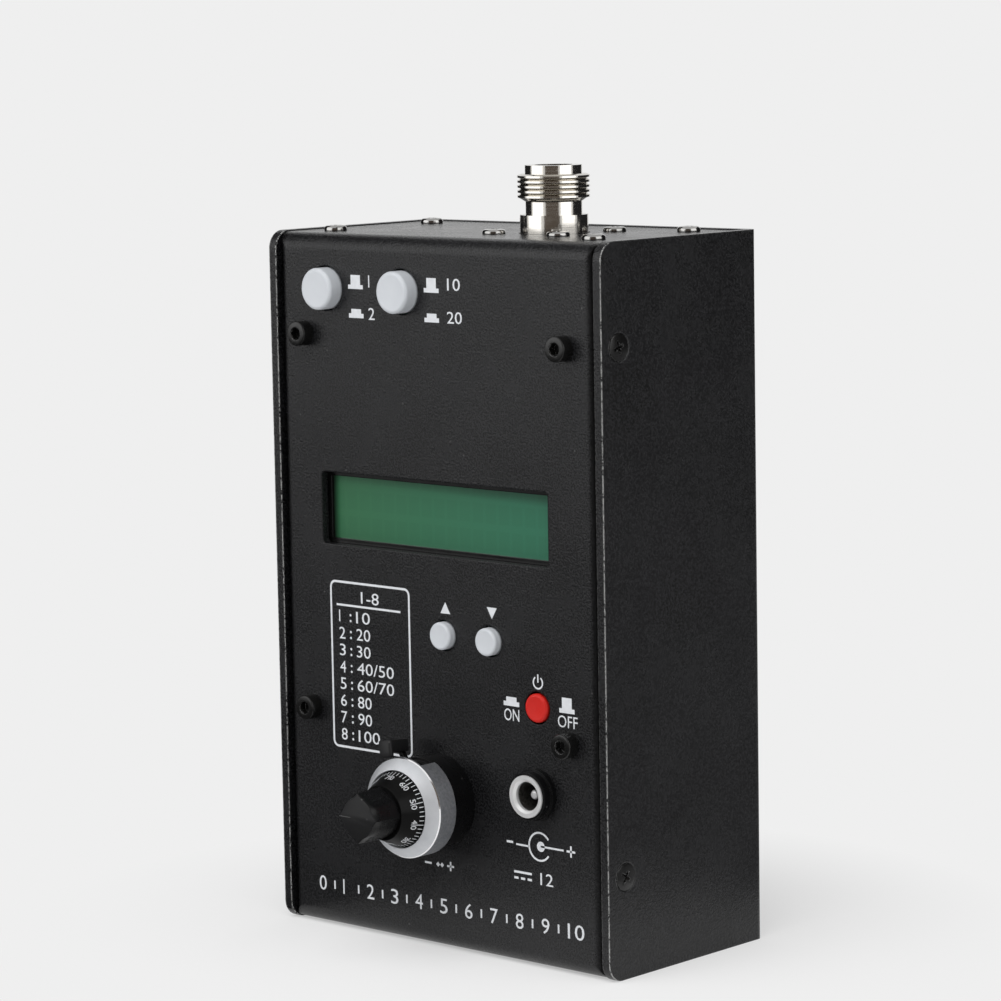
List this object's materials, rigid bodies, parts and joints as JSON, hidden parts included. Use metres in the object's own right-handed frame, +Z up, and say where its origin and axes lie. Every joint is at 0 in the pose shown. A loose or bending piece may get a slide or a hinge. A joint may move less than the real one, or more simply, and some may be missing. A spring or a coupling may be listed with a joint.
{
  "type": "antenna analyzer",
  "caption": "Hand-held antenna analyzer: folded sheet case with a coaxial socket on top, two-line display, push buttons, DC inlet and a multi-turn tuning dial with counter.",
  "frame": {"origin": "middle of the plane that the case stands on, halfway between its side plates and halfway between its front edge and its back", "axes": "+Z up through the antenna socket's end, +X to the user's right, +Y from the front panel to the back"},
  "size_m": [0.096, 0.0765, 0.1685],
  "materials": {
    "black_powder_coat": "fine textured powder coat",
    "zinc_steel": "zinc plated",
    "black_steel": "black oxide",
    "nickel_plate": "bright nickel plate",
    "white_ptfe": "matte",
    "gold_plate": "gold plated",
    "tinned_copper": "tinned",
    "green_laminate": "solder resist",
    "turned_brass": "turned",
    "black_bezel": "black lacquer",
    "display_glass": "polished",
    "green_light_guide": "smooth",
    "black_plastic": "satin moulded",
    "pale_grey_plastic": "smooth moulded",
    "white_plastic": "moulded",
    "red_plastic": "smooth moulded",
    "satin_chrome": "satin chrome",
    "pot_aluminium": "satin",
    "black_epoxy": "moulded epoxy",
    "relay_case": "moulded",
    "shield_steel": "tinned",
    "coil_winding": "enamelled wire on a ring core",
    "capacitor_sleeve": "shrink sleeve"
  },
  "bodies": {
    "case": {"front_shell": "black_powder_coat", "back_shell": "black_powder_coat", "case_screws": "zinc_steel", "side_screws": "black_steel", "clinch_nuts": "zinc_steel", "n_socket_body": "nickel_plate", "n_socket_insulator": "white_ptfe", "n_socket_contact": "gold_plate", "n_flange_screws": "zinc_steel", "n_flange_nuts": "zinc_steel", "antenna_lead": "tinned_copper", "main_board": "green_laminate", "board_posts": "turned_brass", "panel_cap_screws": "black_steel", "board_screws": "zinc_steel", "display_bezel": "black_bezel", "display_glass": "display_glass", "display_light_guide": "green_light_guide", "display_board": "green_laminate", "display_spacers": "turned_brass", "display_screws": "zinc_steel", "display_header": "black_plastic", "mode_switches": "black_plastic", "power_switch": "black_plastic", "step_switches": "black_plastic", "pot_body": "pot_aluminium", "pot_bushing": "nickel_plate", "pot_leads": "tinned_copper", "dial_nut": "nickel_plate", "dial_housing": "black_plastic", "dial_ring": "satin_chrome", "dc_inlet_body": "black_plastic", "dc_inlet_sleeve": "nickel_plate", "dc_inlet_pin": "nickel_plate", "dc_inlet_nut": "black_plastic", "dc_inlet_leads": "tinned_copper", "controller_chip": "black_epoxy", "band_relays": "relay_case", "rf_shield": "shield_steel", "filter_coils": "coil_winding", "filter_capacitors": "capacitor_sleeve", "voltage_regulator": "black_epoxy"},
    "left_mode": {"left_mode_button": "pale_grey_plastic", "left_mode_plunger": "white_plastic"},
    "right_mode": {"right_mode_button": "pale_grey_plastic", "right_mode_plunger": "white_plastic"},
    "power": {"power_button": "red_plastic", "power_plunger": "white_plastic"},
    "up": {"up_button": "pale_grey_plastic", "up_stem": "black_plastic"},
    "down": {"down_button": "pale_grey_plastic", "down_stem": "black_plastic"},
    "tuner": {"tuning_knob": "black_plastic", "dial_scale": "black_plastic", "pot_shaft": "zinc_steel", "knob_set_screw": "black_steel"},
    "counter": {"turns_counter": "black_plastic"},
    "lock": {"lock_lever": "black_steel", "lock_lever_cap": "black_plastic"}
  },
  "joints": [
    {"name": "left_mode_press", "type": "slide", "parent": "case", "child": "left_mode", "axis": [0, 1, 0], "range_m": [0, 0.0025]},
    {"name": "right_mode_press", "type": "slide", "parent": "case", "child": "right_mode", "axis": [0, 1, 0], "range_m": [0, 0.0025]},
    {"name": "power_release", "type": "slide", "parent": "case", "child": "power", "axis": [0, -1, 0], "range_m": [0, 0.0025]},
    {"name": "up_press", "type": "slide", "parent": "case", "child": "up", "axis": [0, 1, 0], "range_m": [0, 0.0004], "stiffness_N_per_m": 500},
    {"name": "down_press", "type": "slide", "parent": "case", "child": "down", "axis": [0, 1, 0], "range_m": [0, 0.0004], "stiffness_N_per_m": 500},
    {"name": "tuning_turn", "type": "hinge", "parent": "case", "child": "tuner", "pos_m": [0, -0.02525, 0.0331], "axis": [0, 1, 0], "range_deg": [-2062, 1538]},
    {"name": "counter_turn", "type": "hinge", "parent": "case", "child": "counter", "pos_m": [0, -0.02525, 0.0331], "axis": [0, 1, 0], "range_deg": [-206.2, 153.8]},
    {"name": "lock_turn", "type": "hinge", "parent": "case", "child": "lock", "pos_m": [0, -0.02525, 0.0331], "axis": [0, 1, 0], "range_deg": [0, 20]}
  ],
  "couplings": [
    {"joint": "counter_turn", "follows": "tuning_turn", "ratio": 0.1}
  ]
}
